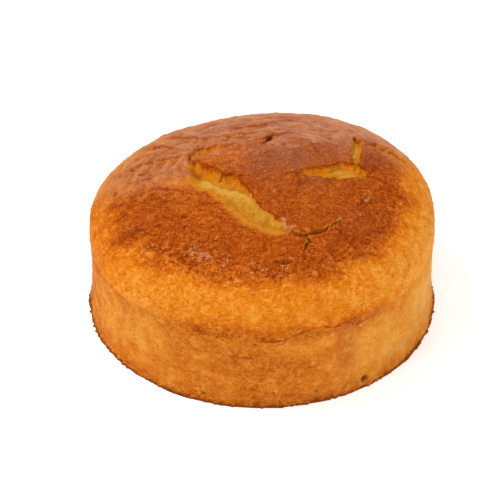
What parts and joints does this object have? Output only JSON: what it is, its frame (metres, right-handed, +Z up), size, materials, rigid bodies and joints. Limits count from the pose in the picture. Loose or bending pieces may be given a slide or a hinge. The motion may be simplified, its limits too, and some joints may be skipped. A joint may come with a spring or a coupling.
{
  "type": "vanilla sponge cake",
  "caption": "Round domed sponge cake baked in a tin: straight pale wall, creased rim, brown crust torn open in cracks that show pale crumb.",
  "frame": {"origin": "on the flat base, under the middle of the cake's box in plan", "axes": "+Z up out of the dome, +X to the right and -Y towards the viewer of the picture"},
  "size_m": [0.2002, 0.1998, 0.0852],
  "materials": {
    "crust": "baked golden brown crust, matt with a faint sheen on top"
  },
  "bodies": {
    "root": {"cake": "crust"}
  },
  "joints": []
}
